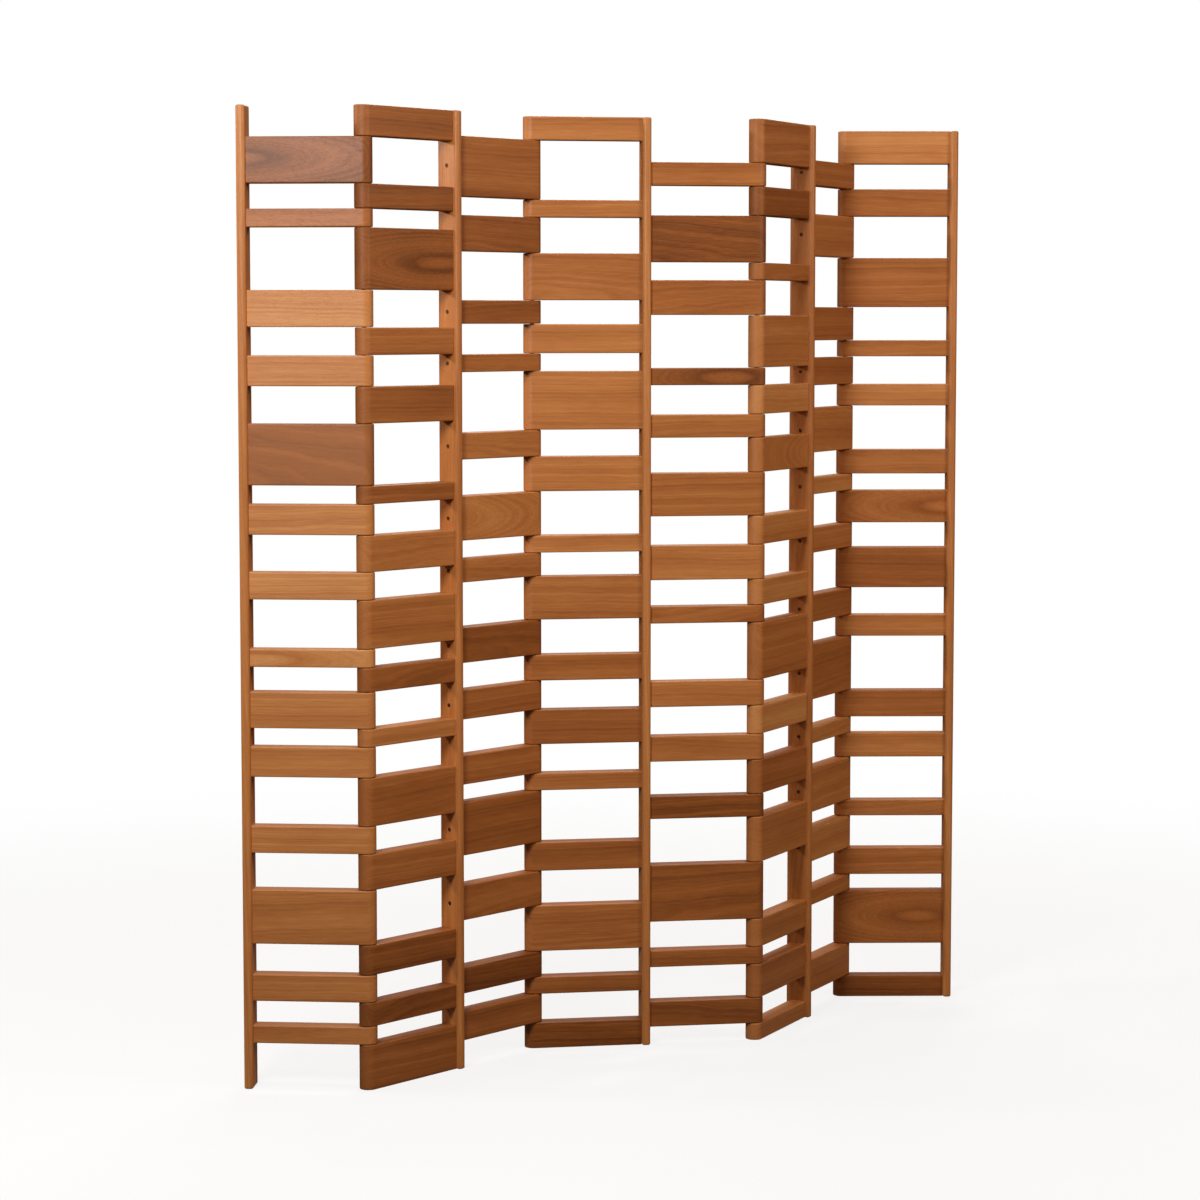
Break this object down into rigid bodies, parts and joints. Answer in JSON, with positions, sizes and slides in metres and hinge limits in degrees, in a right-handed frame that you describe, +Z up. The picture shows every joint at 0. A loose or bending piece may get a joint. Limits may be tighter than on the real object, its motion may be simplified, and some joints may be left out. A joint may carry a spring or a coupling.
{
  "type": "folding room divider",
  "caption": "Free-standing folding wooden screen: upright stiles carry level slats of mixed heights whose round ends interleave on full-height hinge rods, so the leaves fold like a concertina.",
  "frame": {"origin": "on the floor, under the middle of the screen's outline as it stands", "axes": "+Z up; +X along the run of the screen from the first leaf to the last; +Y to the back, away from the viewer in the picture"},
  "size_m": [1.2392, 0.7348, 1.6],
  "materials": {
    "slat_wood": "oiled, satin",
    "stile_wood": "oiled, satin",
    "dowel_wood": "bare, matt",
    "rod_steel": "drawn, satin",
    "screw_brass": "aged, dull"
  },
  "bodies": {
    "leaf_1": {"leaf_1_right_screws": "screw_brass", "leaf_1_right_slats_bottom": "slat_wood", "leaf_1_right_slats_lower": "slat_wood", "leaf_1_right_slats_top": "slat_wood", "leaf_1_right_slats_upper": "slat_wood", "leaf_1_stile": "stile_wood"},
    "leaf_2": {"hinge_1_plug": "dowel_wood", "hinge_1_rod": "rod_steel", "leaf_2_left_dowels": "dowel_wood", "leaf_2_left_screws": "screw_brass", "leaf_2_left_slats_bottom": "slat_wood", "leaf_2_left_slats_lower": "slat_wood", "leaf_2_left_slats_top": "slat_wood", "leaf_2_left_slats_upper": "slat_wood", "leaf_2_right_dowels": "dowel_wood", "leaf_2_right_screws": "screw_brass", "leaf_2_right_slats_bottom": "slat_wood", "leaf_2_right_slats_lower": "slat_wood", "leaf_2_right_slats_top": "slat_wood", "leaf_2_right_slats_upper": "slat_wood", "leaf_2_stile": "stile_wood"},
    "leaf_3": {"hinge_2_plug": "dowel_wood", "hinge_2_rod": "rod_steel", "leaf_3_left_dowels": "dowel_wood", "leaf_3_left_screws": "screw_brass", "leaf_3_left_slats_bottom": "slat_wood", "leaf_3_left_slats_lower": "slat_wood", "leaf_3_left_slats_top": "slat_wood", "leaf_3_left_slats_upper": "slat_wood", "leaf_3_right_dowels": "dowel_wood", "leaf_3_right_screws": "screw_brass", "leaf_3_right_slats_bottom": "slat_wood", "leaf_3_right_slats_lower": "slat_wood", "leaf_3_right_slats_top": "slat_wood", "leaf_3_right_slats_upper": "slat_wood", "leaf_3_stile": "stile_wood"},
    "leaf_4": {"hinge_3_plug": "dowel_wood", "hinge_3_rod": "rod_steel", "leaf_4_left_dowels": "dowel_wood", "leaf_4_left_screws": "screw_brass", "leaf_4_left_slats_bottom": "slat_wood", "leaf_4_left_slats_lower": "slat_wood", "leaf_4_left_slats_top": "slat_wood", "leaf_4_left_slats_upper": "slat_wood", "leaf_4_right_dowels": "dowel_wood", "leaf_4_right_screws": "screw_brass", "leaf_4_right_slats_bottom": "slat_wood", "leaf_4_right_slats_lower": "slat_wood", "leaf_4_right_slats_top": "slat_wood", "leaf_4_right_slats_upper": "slat_wood", "leaf_4_stile": "stile_wood"},
    "leaf_5": {"hinge_4_plug": "dowel_wood", "hinge_4_rod": "rod_steel", "leaf_5_left_screws": "screw_brass", "leaf_5_left_slats_bottom": "slat_wood", "leaf_5_left_slats_lower": "slat_wood", "leaf_5_left_slats_top": "slat_wood", "leaf_5_left_slats_upper": "slat_wood", "leaf_5_stile": "stile_wood"}
  },
  "joints": [
    {"name": "hinge_2", "type": "hinge", "parent": "leaf_3", "child": "leaf_2", "pos_m": [-0.15119, -0.06463, 0], "axis": [0, 0, 1], "range_deg": [-43.6, 127.4]},
    {"name": "hinge_1", "type": "hinge", "parent": "leaf_2", "child": "leaf_1", "pos_m": [-0.41585, -0.35244, 0], "axis": [0, 0, -1], "range_deg": [-57.1, 113.9]},
    {"name": "hinge_3", "type": "hinge", "parent": "leaf_3", "child": "leaf_4", "pos_m": [0.23521, -0.00481, 0], "axis": [0, 0, 1], "range_deg": [-58.6, 112.4]},
    {"name": "hinge_4", "type": "hinge", "parent": "leaf_4", "child": "leaf_5", "pos_m": [0.41636, 0.34169, 0], "axis": [0, 0, -1], "range_deg": [-66.6, 104.4]}
  ]
}
